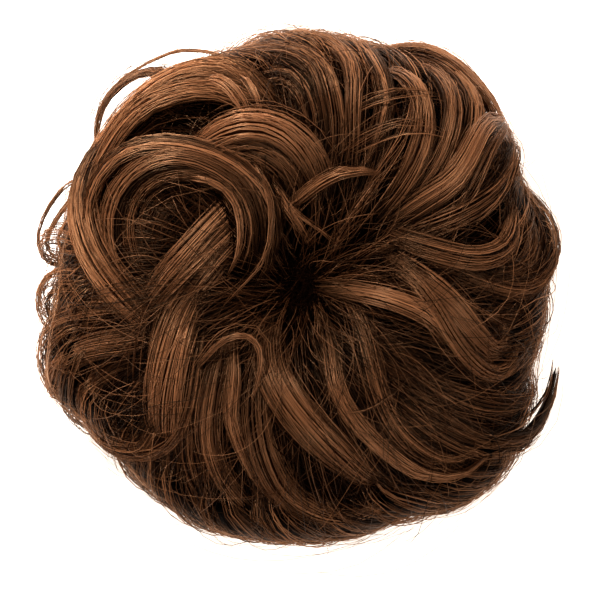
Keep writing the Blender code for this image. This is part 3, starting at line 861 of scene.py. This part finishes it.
curls, below, body = {n: [] for n in range(4)}, [], []
for name, width, thick, tone, path in LOCKS:
    free, airy = name in FREE_TIPS, name in AIRY
    tuck = (ROOT_TUCK, 0 if free else TIP_TUCK)
    count = round(width * STRANDS_PER_MM * (AIRY_SHARE if airy else 1))
    curls[quarter_of(path)].append(lay_strands(
        path, width * LOCK_SHARE, thick, tone, count, 0.25 if free else 0.5, tuck, shaded=not airy))
    if not free and not airy:
        body.append(curls[quarter_of(path)][-1])
        # Painted shade: the layer below is darker than its lock and has the duller packed finish.
        below.append(lay_strands(
            path, width * 1.9, thick * 1.2, tone - 0.34, round(width * BELOW_PER_MM),
            0.8, tuck, 0.06, -2.6))
for quarter, place in enumerate(PLACES):
    add_strands("curls_" + place, curls[quarter])
add_strands("curls_below", below, packed_finish)

# %% [markdown]
# ## The hair between and below the curls
#
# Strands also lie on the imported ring, flowing out of the middle, over the crown and down the side, all
# turning the same way. They are darker, because they are shaded by the curls. Two plainer layers finish
# the side and the underside, as on the solids.

# %% Strands on the ring
FLOW_BUNDLES = 130
FLOW_PER_BUNDLE = 9
FLOW_SWEEP = radians(42)


def flow_path(angle, from_share, to_share, sweep, lift):
    """A path over the ring's section between two shares of its length, turning round the bun as it goes."""
    corners = np.array([*PAD_CROWN, *[(rim_radius(angle) - inward, z) for inward, z in PAD_SIDE]])
    reach = np.concatenate([[0], np.cumsum(np.linalg.norm(np.diff(corners, axis=0), axis=1))])
    share = np.linspace(from_share, to_share, 7)
    radius = np.interp(share * reach[-1], reach, corners[:, 0])
    height = np.interp(share * reach[-1], reach, corners[:, 1])
    turn = angle + sweep * (share - from_share)
    points = polar(radius, turn, height)
    return points + outward(points) * lift


flows = []
for n in range(FLOW_BUNDLES):
    angle = 2 * pi * (n + rng.uniform(-0.5, 0.5)) / FLOW_BUNDLES
    begin = rng.uniform(0.0, 0.30)
    finish = min(begin + rng.uniform(0.45, 0.75), 0.97)
    path = flow_path(angle, begin, finish, FLOW_SWEEP * rng.uniform(0.3, 1.4), rng.uniform(1.0, 4.0))
    flows.append(lay_strands(path, 9, 3.5, 0.22, FLOW_PER_BUNDLE, 0.6, (0, 0)))
add_strands("flow_strands", flows)

# %% Strands of the side and the underside
SIDE_LOCKS = 26
SIDE_PATH = ((10, 40), (5, 31), (4, 21), (8, 11), (17, 4))
SIDE_SWEEP = 24
UNDER_LOCKS = 18
UNDER_PATH = ((51, 7), (40, 5), (28, 4), (17, 5), (8, 10), (5, 18))
UNDER_SWEEP = -26
SIDE_RADIUS = 0.16


def layer_path(number, count, profile, sweep):
    start = 2 * pi * number / count
    angle = start + radians(sweep) * np.arange(len(profile)) / (len(profile) - 1)
    inward, height = np.array(profile).T
    return polar(rim_radius(angle) - inward, angle, height)


side_paths = [layer_path(n, SIDE_LOCKS, SIDE_PATH, SIDE_SWEEP) for n in range(SIDE_LOCKS)]
under_paths = [layer_path(n, UNDER_LOCKS, UNDER_PATH, UNDER_SWEEP) for n in range(UNDER_LOCKS)]
add_cores("side_cores", [(path, 18, 7, 0.40) for path in side_paths])
add_cores("under_cores", [(path, 16, 6, 0.30) for path in under_paths])
side = [lay_strands(path, 18, 6.5, 0.50, 48, 0.8, shaded=False) for path in side_paths]
add_strands("side_strands", side, radius=SIDE_RADIUS)
under = [lay_strands(path, 15, 6, 0.42, 36, 0.7, shaded=False) for path in under_paths]
add_strands("under_strands", under, radius=SIDE_RADIUS)

# %% [markdown]
# ## Hair across the passage
#
# From above the passage is a dark hollow, because loose hair from all sides hangs over it. These strands
# start on the ring, dip into the hollow and come up on the other side. The deeper they hang, the darker
# they are: painted shade, and they have the duller packed finish.

# %% Strands over the hollow
HOLLOW_BUNDLES = 230
HOLLOW_PER_BUNDLE = 4
THROAT_BUNDLES = 90
THROAT_PER_BUNDLE = 7
THROAT_RADII = np.array([13, 11, 9.6, 9.2, 8.0])
THROAT_HEIGHTS = (42, 36, 28, 21, 15)
LOWEST_HANG, HIGHEST_HANG = 15, 37

hollow = []
for n in range(HOLLOW_BUNDLES):
    lowest = rng.uniform(LOWEST_HANG, HIGHEST_HANG)
    turns = rng.uniform(0, 2 * pi) + np.array([0, 0, 1, 2, 2]) * rng.uniform(0.8, 2.3)
    radii = np.array([
        rng.uniform(14, 20), rng.uniform(9, 12), 9.5 * rng.random() ** 1.2, rng.uniform(9, 12), 15])
    heights = np.array([41, max(lowest + 4, 28), lowest, max(lowest + 4, 28), 40])
    # Painted shade: the deeper a bundle hangs, the darker it is.
    tone = 0.02 + 0.14 * (lowest - LOWEST_HANG) / (HIGHEST_HANG - LOWEST_HANG)
    hollow.append(lay_strands(polar(radii, turns, heights), 5, 2.5, tone, HOLLOW_PER_BUNDLE, 0.6, (0, 0)))
for n in range(THROAT_BUNDLES):
    turns = 2 * pi * n / THROAT_BUNDLES + np.linspace(0, rng.uniform(0.6, 1.8), 5)
    path = polar(THROAT_RADII, turns, THROAT_HEIGHTS)
    # Painted shade: the throat strands are near the dark end of the ramp.
    hollow.append(lay_strands(path, 6, 2.5, 0.08, THROAT_PER_BUNDLE, 0.9, (0, 0)))
add_strands("hollow_strands", hollow, packed_finish)

# %% [markdown]
# ## Wisps
#
# Small groups of strands leave the locks and make the bun look worn and soft: two thin loops that stand
# off the upper left, a hoop, pointed ends near the middle. Each row is one wisp: its spread, how fair it
# is, how many strands it has, and its points. The lit ends are given a high tone, a painted highlight.

# %% The table of wisps
WISPS = (
    ("far_loop", 1.2, 0.86, 32, ((-10, 62, 40), (-23, 69, 33), (-34, 71, 29), (-40, 69.5, 28),
        (-46, 66.5, 28), (-52, 63, 28), (-56.5, 59, 28), (-59.5, 54, 29), (-60.5, 46, 32))),
    ("near_loop", 4.0, 0.50, 90, ((-36, 62, 36), (-42, 64, 31), (-47.5, 63, 29), (-52.3, 60.4, 28),
        (-56.4, 56.6, 28), (-59, 51.5, 30), (-60, 46, 32), (-60, 40, 34))),
    # The lit ends' high tone is a painted highlight.
    ("lit_ends", 3.4, 1.15, 20, ((-26, 61, 50), (-22, 60, 52), (-18, 56, 54), (-15, 51, 54),
        (-14, 48, 53))),
    ("lit_ends_right", 2.0, 1.05, 10, ((-17, 62, 49), (-14, 59, 51), (-12, 54, 53), (-11, 49, 53))),
    ("thin_loop", 1.6, 0.80, 9, ((-14, 37, 54), (-10, 31, 55), (-8, 24, 54), (-8, 17, 53), (-10, 8, 52),
        (-17, 0, 52), (-23, -7, 50))),
    ("ring_edge", 1.8, 0.84, 30, ((-33, 32, 54), (-24, 30.5, 55), (-18.5, 25, 54.5), (-17, 18, 53.5),
        (-17.5, 10, 51.5), (-21, 3, 49))),
    ("thin_loop_inner", 1.2, 0.74, 12, ((-20, 32, 55), (-16, 27, 55), (-14, 20, 54), (-14, 13, 52),
        (-17, 5, 50))),
    ("hoop", 1.3, 0.84, 18, ((-31, -25, 50), (-29, -23, 52), (-23, -16, 54), (-18, -14, 55), (-14, -14, 55),
        (-11, -18, 55), (-11, -24, 54), (-13, -31, 52), (-15, -38, 50))),
    ("pointed_low", 3.0, 0.92, 20, ((-9, 31, 48), (-6, 27, 49), (-1, 20, 46), (2, 15, 41), (5, 10, 35))),
    ("pointed_right", 1.6, 0.92, 14, ((-4, 25, 48), (0, 21, 48), (5, 18, 46), (10, 14, 42), (13, 10, 37))),
    ("middle_cross", 2.2, 0.70, 10, ((24, 33, 50), (20, 27, 50), (14, 19, 46), (11, 12, 40), (9, 6, 34))),
    ("left_arc_outer", 1.8, 0.80, 16, ((-67, 32, 34), (-73, 26, 31), (-77, 19, 28), (-78, 12, 26),
        (-74, 6.5, 26), (-64, 7, 30))),
    ("left_arc_mid", 2.0, 0.72, 18, ((-66, 27, 36), (-72, 20, 33), (-75, 14, 31), (-73, 8.5, 30),
        (-64, 9, 34))),
    ("left_arc_inner", 1.6, 0.66, 16, ((-64, 23, 39), (-70, 18, 35), (-72, 13, 33), (-69, 10, 34),
        (-60, 12, 40))),
    ("left_low_arc", 1.6, 0.80, 14, ((-66, 6, 33), (-74, 4.5, 29), (-78, -1, 27), (-78, -8, 26),
        (-73, -14, 27), (-64, -17, 30))),
    ("left_low_arc_inner", 2.2, 0.66, 18, ((-64, 3, 36), (-71, 1, 32), (-75, -4, 30), (-73, -10, 30),
        (-62, -12, 36))),
    ("right_net_a", 4.0, 0.72, 16, ((62, 49, 40), (58, 44, 46), (54, 36, 50), (50, 27, 52), (44, 19, 51))),
    ("right_net_b", 5.0, 0.70, 16, ((65, 44, 35), (62, 34, 43), (57, 26, 47), (49, 20, 50), (39, 17, 50))),
    ("top_net_a", 4.0, 0.82, 10, ((16, 52, 49), (23, 55, 52), (32, 57, 53), (41, 56, 51))),
    ("top_net_b", 5.0, 0.82, 12, ((14, 40, 50), (24, 45, 53), (34, 47, 56), (44, 44, 54))),
    ("top_net_c", 4.0, 0.76, 12, ((20, 28, 50), (26, 37, 52), (31, 46, 55), (33, 56, 53))),
    ("right_fine", 1.2, 0.86, 5, ((36, 6, 51), (42, 0, 52), (50, -5, 50), (59, -10, 46), (64, -14, 42))),
    ("low_fine", 0.8, 0.80, 3, ((13, -37, 52), (20, -36, 53), (28, -31, 53), (33, -25, 52))),
    ("low_wisp", 3.0, 0.66, 14, ((58, -48, 31), (64, -49, 29), (69, -47, 28), (73, -44, 29))),
    ("flick_edge", 1.8, 0.84, 22, ((60, -50, 29), (68, -46, 29), (73.6, -39.5, 28.5), (76.8, -31, 29),
        (77.8, -23, 31))),
    ("flick_tip", 1.6, 0.60, 20, ((66, -40, 32), (71, -36, 30), (74.5, -30, 30), (76, -21, 32))),
)
wisps = [lay_strands(path, spread, spread * 0.7, tone, count, 0.35, (5, 0), 0.10, shaded=False)
         for _, spread, tone, count, path in WISPS]
add_strands("wisps", wisps)

# %% [markdown]
# ## Flyaways
#
# No hair is tidy at the scale of one strand. Single hairs cross the locks every way, lie over the dark
# gaps and stand off the outline. They are finer and fairer than the rest, and few enough not to hide the
# curls. The hairs along the outline reach the palest brown, which is painted light from behind.

# %% Flyaways
FLYAWAYS = 1200
HALO_HAIRS = 350
RIM_HAIRS = 1500


def flyaway(begin, reach, sweep, lift, tone):
    """One loose hair over the locks, from a share of the ring's section, with a curve of its own."""
    path = flow_path(rng.uniform(0, 2 * pi), begin, begin + reach, sweep, lift)
    sway = np.sin(np.linspace(0, pi, len(path)))[:, None] * rng.normal(0, 2.0, 3)
    return lay_strands(path + sway, 2, 1.5, tone, 1, 0.6, (3, 3), shaded=False)


def outline_of(bundles, steps=240, most=14):
    """How far the body of the hair reaches at even angles, seen from above, without stray strands."""
    flat = np.concatenate([centre[..., :2].reshape(-1, 2) for centre, *_ in bundles])
    place = np.round(np.arctan2(flat[:, 1], flat[:, 0]) / (2 * pi) * steps).astype(int) % steps
    reach = np.hypot(*flat.T)
    farthest = np.array([np.sort(reach[place == n])[-most] for n in range(steps)])
    spread = np.stack([np.roll(farthest, shift) for shift in range(-2, 3)])
    return np.median(spread, axis=0)


def rim_hair(outline):
    """One hair that lies along the outline, close to it or up to a few millimetres off, in a pale brown
    that is painted light from behind.
    """
    begin, sweep = rng.uniform(0, 2 * pi), rng.choice((-1, 1)) * rng.uniform(0.08, 0.34)
    angle = begin + sweep * np.linspace(0, 1, 6)
    reach = at_angle(np.mod(angle, 2 * pi), outline)
    reach = reach + rng.exponential(0.6) - 0.4 + np.sin(np.linspace(0, pi, 6)) * rng.exponential(0.35)
    height = rng.uniform(19, 35) + np.linspace(0, 1, 6) * rng.normal(0, 4)
    path = polar(reach, angle, height)
    centre, out, _, fine, from_v = lay_strands(path, 0.6, 0.6, 1, 1, 0.6, (3, 3), shaded=False)
    # The pale end of the ramp is painted light from behind.
    return centre, out, rng.uniform(0.68, 0.96, 1), fine, from_v


flyaways = [flyaway(
    rng.uniform(0.05, 0.5), rng.uniform(0.08, 0.24), rng.normal(0, 2.4), rng.uniform(5, 9.5),
    rng.uniform(0.55, 0.95)) for _ in range(FLYAWAYS)]
halo = [flyaway(
    rng.uniform(0.50, 0.66), rng.uniform(0.05, 0.2), rng.normal(0, 3.0), rng.uniform(6.5, 9),
    rng.uniform(0.75, 0.98)) for _ in range(HALO_HAIRS)]
outline = outline_of(body + side)
halo += [rim_hair(outline) for _ in range(RIM_HAIRS)]
add_strands("flyaways", flyaways, radius=0.08)
add_strands("halo_hairs", halo, radius=0.06)

# %% [markdown]
# ## The floor, the light and the camera
#
# The photograph is a plain product shot from straight above on white. One soft light stands up and to the
# left, a second fills from the right. The white table glows a little, as a light table does, so that
# hardly a shadow shows on it and the thin hair at the outline is lit from behind.

# %% Floor
FLOOR_SIZE = 3.0
FLOOR_GAP = 0.0003
GLOW = (1.0, 0.86, 0.74, 1)
GLOW_STRENGTH = 1.3
floor_mesh = bpy.data.meshes.new("floor")
grid = bmesh.new()
bmesh.ops.create_grid(grid, x_segments=1, y_segments=1, size=FLOOR_SIZE / 2)
grid.to_mesh(floor_mesh)
grid.free()
floor = add_object("floor", floor_mesh)
floor.location.z = -FLOOR_GAP
floor_finish, _, floor_shader = new_material("floor_white")
floor_shader.inputs["Base Color"].default_value = (0.95, 0.95, 0.95, 1)
floor_shader.inputs["Roughness"].default_value = 0.9
floor_shader.inputs["Emission Color"].default_value = GLOW
floor_shader.inputs["Emission Strength"].default_value = GLOW_STRENGTH
floor_mesh.materials.append(floor_finish)

# %% Light
LIT_POINT = (0, 0, 0.03)
LIGHTS = (("key", (-0.55, 0.75, 1.05), 0.32, 210), ("fill", (0.6, -0.4, 1.3), 0.7, 9))


def add_light(name, place, size, power):
    """A round soft light at a place in metres, turned to the bun."""
    lamp = bpy.data.lights.new(name, "AREA")
    lamp.shape = "DISK"
    lamp.size = size
    lamp.energy = power
    lamp.color = (1.0, 0.93, 0.86)
    made = add_object(name, lamp)
    made.location = place
    x, y, z = np.array(LIT_POINT) - place
    made.rotation_euler = (np.arctan2(np.hypot(x, y), -z), 0, np.arctan2(x, -y))


for light in LIGHTS:
    add_light(*light)
world = bpy.data.worlds.new("studio")
world.use_nodes = True
world.node_tree.nodes["Background"].inputs["Color"].default_value = (1.0, 0.95, 0.90, 1)
world.node_tree.nodes["Background"].inputs["Strength"].default_value = 0.14
bpy.context.scene.world = world

# %% Camera
CAMERA_HEIGHT = 1.0
CAMERA_AIM = (0.45, -3.9)
VIEW_WIDTH = 180.0
RIM_HEIGHT = 27.0
lens = bpy.data.cameras.new("camera")
lens.sensor_width = 36
lens.lens = lens.sensor_width * (CAMERA_HEIGHT / MM - RIM_HEIGHT) / VIEW_WIDTH
lens.clip_start = 0.05
camera = add_object("camera", lens)
camera.location = (CAMERA_AIM[0] * MM, CAMERA_AIM[1] * MM, CAMERA_HEIGHT)
bpy.context.scene.camera = camera
bpy.context.scene.view_settings.view_transform = "Standard"
